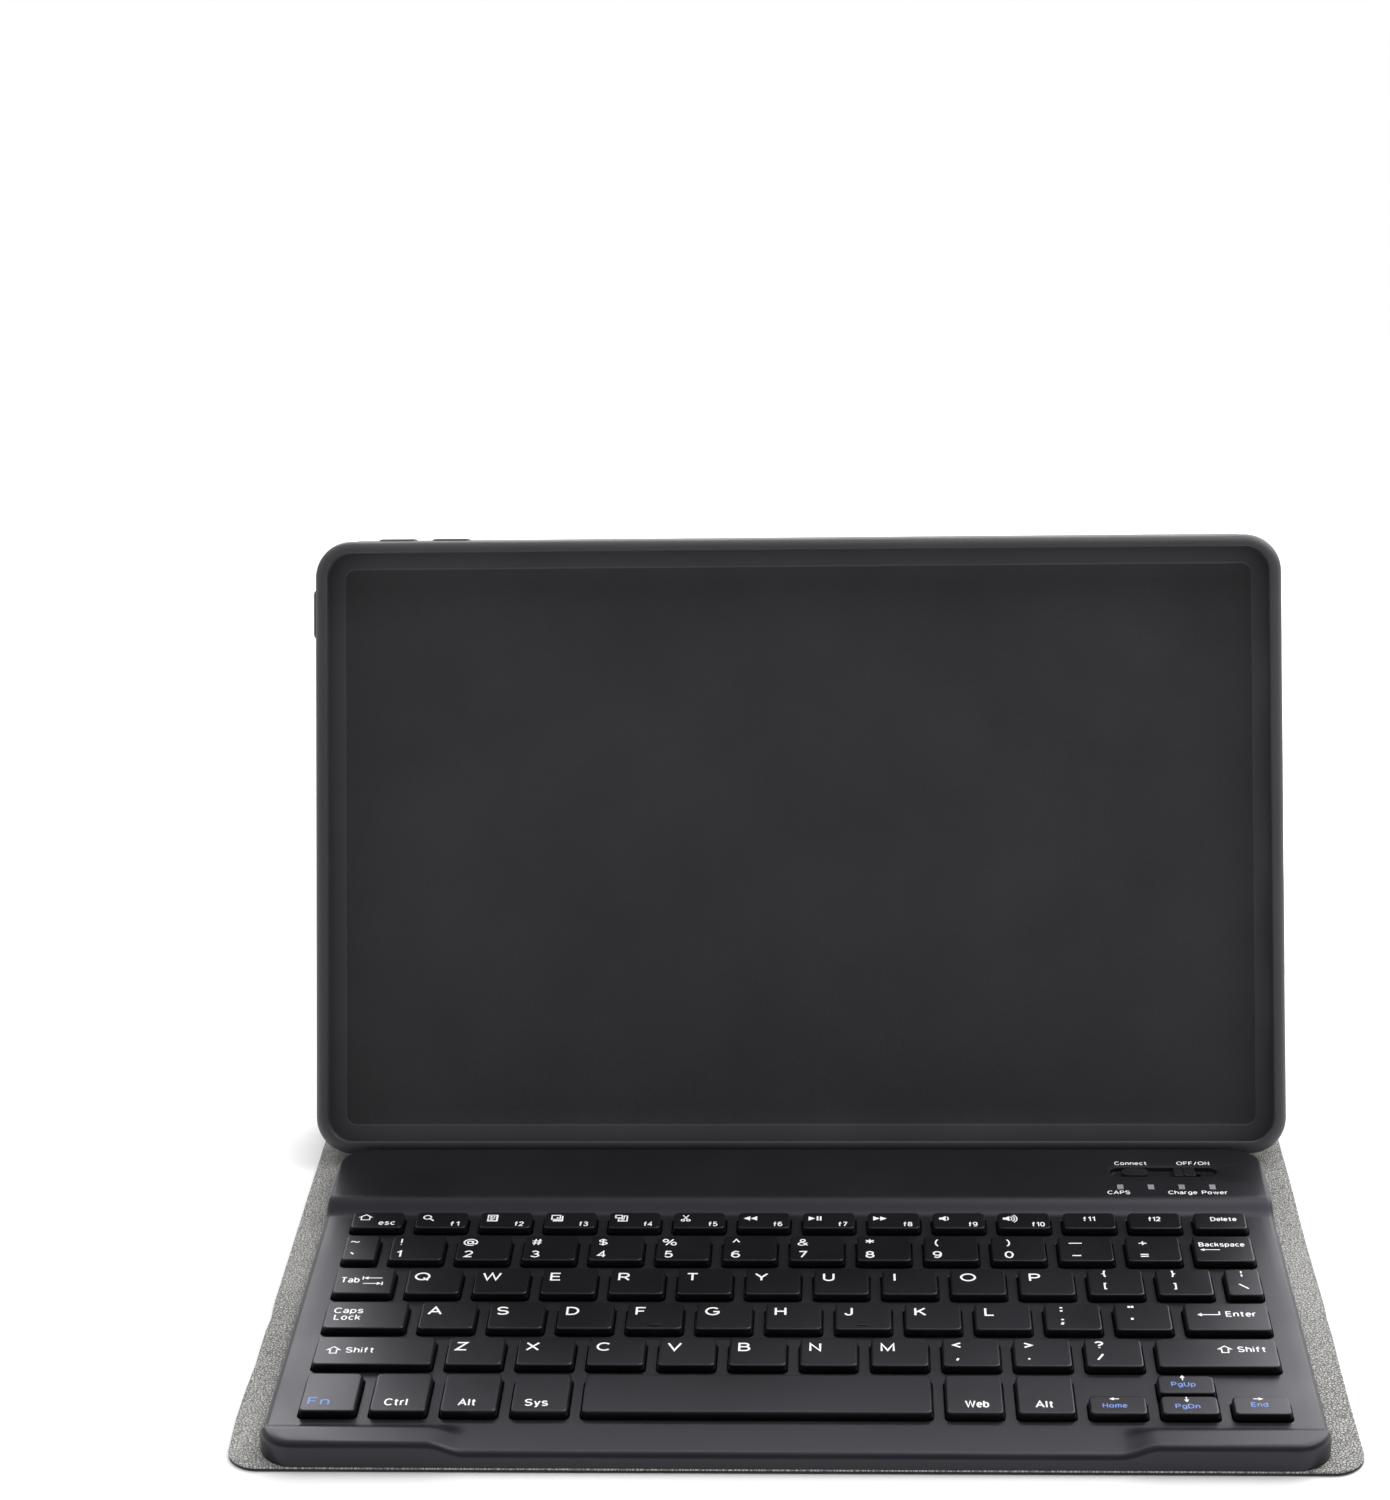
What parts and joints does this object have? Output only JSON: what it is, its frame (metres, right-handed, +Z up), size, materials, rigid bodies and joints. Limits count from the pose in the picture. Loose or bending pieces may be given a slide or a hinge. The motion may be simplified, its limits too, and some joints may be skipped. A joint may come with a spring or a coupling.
{
  "type": "tablet keyboard case",
  "caption": "Folding soft case with a thin keyboard on its base and a moulded tray that holds a tablet upright on a folding leg, closed by a wrap-over magnetic flap.",
  "frame": {"origin": "middle of the base's underside, on the surface that the open case rests on", "axes": "+X across the case to the user's right, +Y to the rear, +Z up"},
  "size_m": [0.263, 0.2208, 0.1597],
  "materials": {
    "cover_skin": "fine-grained synthetic leather, dark blue-grey, low sheen",
    "lining": "warm grey microfibre with a pebbled grain",
    "tray": "soft moulded elastomer, matt dark grey",
    "keyboard_body": "satin dark charcoal",
    "key_plastic": "satin near-black with white lettering",
    "control": "satin black",
    "steel": "bright rolled steel",
    "membrane": "clear printed film",
    "dome_rubber": "translucent silicone",
    "circuit_board": "green solder mask",
    "battery_foil": "laminated foil pouch",
    "clear_plastic": "frosted light pipe"
  },
  "bodies": {
    "base": {"base_front_cover": "cover_skin", "base_rear_cover": "cover_skin", "base_crease_strip": "cover_skin", "base_lining": "lining", "base_keeper_plates": "steel", "keyboard_top_case": "keyboard_body", "keyboard_bottom_case": "keyboard_body", "key_support_plate": "steel", "membrane_sheet": "membrane", "rubber_domes": "dome_rubber", "control_board": "circuit_board", "battery_cell": "battery_foil", "charging_socket": "steel", "indicator_windows": "clear_plastic", "case_screws": "steel"},
    "spine": {"spine_cover": "cover_skin", "spine_lining": "lining"},
    "leg": {"leg_cover": "cover_skin", "leg_lining": "lining"},
    "tray": {"tray_panel": "cover_skin", "tablet_tray": "tray"},
    "edge": {"edge_strip": "cover_skin"},
    "flap": {"flap_cover": "cover_skin", "flap_lining": "lining", "flap_magnets": "steel"},
    "switch": {"power_switch": "control"},
    "connect": {"connect_button": "control"},
    "esc_key_body": {"esc_key": "key_plastic"},
    "function_keys_body": {"function_keys": "key_plastic"},
    "delete_key_body": {"delete_key": "key_plastic"},
    "number_keys_body": {"number_keys": "key_plastic"},
    "backspace_key_body": {"backspace_key": "key_plastic"},
    "tab_key_body": {"tab_key": "key_plastic"},
    "top_letter_keys_body": {"top_letter_keys": "key_plastic"},
    "caps_lock_key_body": {"caps_lock_key": "key_plastic"},
    "home_letter_keys_body": {"home_letter_keys": "key_plastic"},
    "enter_key_body": {"enter_key": "key_plastic"},
    "left_shift_key_body": {"left_shift_key": "key_plastic"},
    "bottom_letter_keys_body": {"bottom_letter_keys": "key_plastic"},
    "right_shift_key_body": {"right_shift_key": "key_plastic"},
    "fn_key_body": {"fn_key": "key_plastic"},
    "ctrl_key_body": {"ctrl_key": "key_plastic"},
    "left_alt_key_body": {"left_alt_key": "key_plastic"},
    "system_key_body": {"system_key": "key_plastic"},
    "space_bar_body": {"space_bar": "key_plastic"},
    "browser_key_body": {"browser_key": "key_plastic"},
    "right_alt_key_body": {"right_alt_key": "key_plastic"},
    "left_arrow_key_body": {"left_arrow_key": "key_plastic"},
    "up_arrow_key_body": {"up_arrow_key": "key_plastic"},
    "down_arrow_key_body": {"down_arrow_key": "key_plastic"},
    "right_arrow_key_body": {"right_arrow_key": "key_plastic"}
  },
  "joints": [
    {"name": "cover_fold", "type": "hinge", "parent": "base", "child": "spine", "pos_m": [0, 0.0795, 0.0006], "axis": [1, 0, 0], "range_deg": [0, 90]},
    {"name": "leg_fold", "type": "hinge", "parent": "spine", "child": "leg", "pos_m": [0, 0.1004, 0.0006], "axis": [1, 0, 0], "range_deg": [-24.43, 0]},
    {"name": "tray_fold", "type": "hinge", "parent": "leg", "child": "tray", "pos_m": [0, 0.08739, 0.02925], "axis": [1, 0, 0], "range_deg": [0, 46.43]},
    {"name": "flap_fold", "type": "hinge", "parent": "tray", "child": "edge", "pos_m": [0, 0.14071, 0.15669], "axis": [1, 0, 0], "range_deg": [0, 270]},
    {"name": "flap_turn", "type": "hinge", "parent": "edge", "child": "flap", "pos_m": [0, 0.13161, 0.13416], "axis": [1, 0, 0], "range_deg": [0, 90]},
    {"name": "power_slide", "type": "slide", "parent": "base", "child": "switch", "axis": [1, 0, 0], "range_m": [0, 0.003]},
    {"name": "connect_press", "type": "slide", "parent": "base", "child": "connect", "axis": [0, 0, 1], "range_m": [-0.0005, 0], "stiffness_N_per_m": 800, "springref_m": 0.0005},
    {"name": "esc_press", "type": "slide", "parent": "base", "child": "esc_key_body", "axis": [0, 0, 1], "range_m": [-0.0015, 0], "stiffness_N_per_m": 300, "springref_m": 0.0012, "deforming": ["rubber_domes"]},
    {"name": "function_press", "type": "slide", "parent": "base", "child": "function_keys_body", "axis": [0, 0, 1], "range_m": [-0.0015, 0], "stiffness_N_per_m": 300, "springref_m": 0.0012, "deforming": ["rubber_domes"]},
    {"name": "delete_press", "type": "slide", "parent": "base", "child": "delete_key_body", "axis": [0, 0, 1], "range_m": [-0.0015, 0], "stiffness_N_per_m": 300, "springref_m": 0.0012, "deforming": ["rubber_domes"]},
    {"name": "number_press", "type": "slide", "parent": "base", "child": "number_keys_body", "axis": [0, 0, 1], "range_m": [-0.0015, 0], "stiffness_N_per_m": 300, "springref_m": 0.0012, "deforming": ["rubber_domes"]},
    {"name": "backspace_press", "type": "slide", "parent": "base", "child": "backspace_key_body", "axis": [0, 0, 1], "range_m": [-0.0015, 0], "stiffness_N_per_m": 300, "springref_m": 0.0012, "deforming": ["rubber_domes"]},
    {"name": "tab_press", "type": "slide", "parent": "base", "child": "tab_key_body", "axis": [0, 0, 1], "range_m": [-0.0015, 0], "stiffness_N_per_m": 300, "springref_m": 0.0012, "deforming": ["rubber_domes"]},
    {"name": "top_letter_press", "type": "slide", "parent": "base", "child": "top_letter_keys_body", "axis": [0, 0, 1], "range_m": [-0.0015, 0], "stiffness_N_per_m": 300, "springref_m": 0.0012, "deforming": ["rubber_domes"]},
    {"name": "caps_lock_press", "type": "slide", "parent": "base", "child": "caps_lock_key_body", "axis": [0, 0, 1], "range_m": [-0.0015, 0], "stiffness_N_per_m": 300, "springref_m": 0.0012, "deforming": ["rubber_domes"]},
    {"name": "home_letter_press", "type": "slide", "parent": "base", "child": "home_letter_keys_body", "axis": [0, 0, 1], "range_m": [-0.0015, 0], "stiffness_N_per_m": 300, "springref_m": 0.0012, "deforming": ["rubber_domes"]},
    {"name": "enter_press", "type": "slide", "parent": "base", "child": "enter_key_body", "axis": [0, 0, 1], "range_m": [-0.0015, 0], "stiffness_N_per_m": 300, "springref_m": 0.0012, "deforming": ["rubber_domes"]},
    {"name": "left_shift_press", "type": "slide", "parent": "base", "child": "left_shift_key_body", "axis": [0, 0, 1], "range_m": [-0.0015, 0], "stiffness_N_per_m": 300, "springref_m": 0.0012, "deforming": ["rubber_domes"]},
    {"name": "bottom_letter_press", "type": "slide", "parent": "base", "child": "bottom_letter_keys_body", "axis": [0, 0, 1], "range_m": [-0.0015, 0], "stiffness_N_per_m": 300, "springref_m": 0.0012, "deforming": ["rubber_domes"]},
    {"name": "right_shift_press", "type": "slide", "parent": "base", "child": "right_shift_key_body", "axis": [0, 0, 1], "range_m": [-0.0015, 0], "stiffness_N_per_m": 300, "springref_m": 0.0012, "deforming": ["rubber_domes"]},
    {"name": "fn_press", "type": "slide", "parent": "base", "child": "fn_key_body", "axis": [0, 0, 1], "range_m": [-0.0015, 0], "stiffness_N_per_m": 300, "springref_m": 0.0012, "deforming": ["rubber_domes"]},
    {"name": "ctrl_press", "type": "slide", "parent": "base", "child": "ctrl_key_body", "axis": [0, 0, 1], "range_m": [-0.0015, 0], "stiffness_N_per_m": 300, "springref_m": 0.0012, "deforming": ["rubber_domes"]},
    {"name": "left_alt_press", "type": "slide", "parent": "base", "child": "left_alt_key_body", "axis": [0, 0, 1], "range_m": [-0.0015, 0], "stiffness_N_per_m": 300, "springref_m": 0.0012, "deforming": ["rubber_domes"]},
    {"name": "system_press", "type": "slide", "parent": "base", "child": "system_key_body", "axis": [0, 0, 1], "range_m": [-0.0015, 0], "stiffness_N_per_m": 300, "springref_m": 0.0012, "deforming": ["rubber_domes"]},
    {"name": "space_bar_press", "type": "slide", "parent": "base", "child": "space_bar_body", "axis": [0, 0, 1], "range_m": [-0.0015, 0], "stiffness_N_per_m": 300, "springref_m": 0.0012, "deforming": ["rubber_domes"]},
    {"name": "browser_press", "type": "slide", "parent": "base", "child": "browser_key_body", "axis": [0, 0, 1], "range_m": [-0.0015, 0], "stiffness_N_per_m": 300, "springref_m": 0.0012, "deforming": ["rubber_domes"]},
    {"name": "right_alt_press", "type": "slide", "parent": "base", "child": "right_alt_key_body", "axis": [0, 0, 1], "range_m": [-0.0015, 0], "stiffness_N_per_m": 300, "springref_m": 0.0012, "deforming": ["rubber_domes"]},
    {"name": "left_arrow_press", "type": "slide", "parent": "base", "child": "left_arrow_key_body", "axis": [0, 0, 1], "range_m": [-0.0015, 0], "stiffness_N_per_m": 300, "springref_m": 0.0012, "deforming": ["rubber_domes"]},
    {"name": "up_arrow_press", "type": "slide", "parent": "base", "child": "up_arrow_key_body", "axis": [0, 0, 1], "range_m": [-0.0015, 0], "stiffness_N_per_m": 300, "springref_m": 0.0012, "deforming": ["rubber_domes"]},
    {"name": "down_arrow_press", "type": "slide", "parent": "base", "child": "down_arrow_key_body", "axis": [0, 0, 1], "range_m": [-0.0015, 0], "stiffness_N_per_m": 300, "springref_m": 0.0012, "deforming": ["rubber_domes"]},
    {"name": "right_arrow_press", "type": "slide", "parent": "base", "child": "right_arrow_key_body", "axis": [0, 0, 1], "range_m": [-0.0015, 0], "stiffness_N_per_m": 300, "springref_m": 0.0012, "deforming": ["rubber_domes"]}
  ],
  "couplings": [
    {"joint": "leg_fold", "follows": "cover_fold", "ratio": -0.27129},
    {"joint": "tray_fold", "follows": "cover_fold", "ratio": 0.51573},
    {"joint": "flap_turn", "follows": "flap_fold", "ratio": 0.33333}
  ]
}
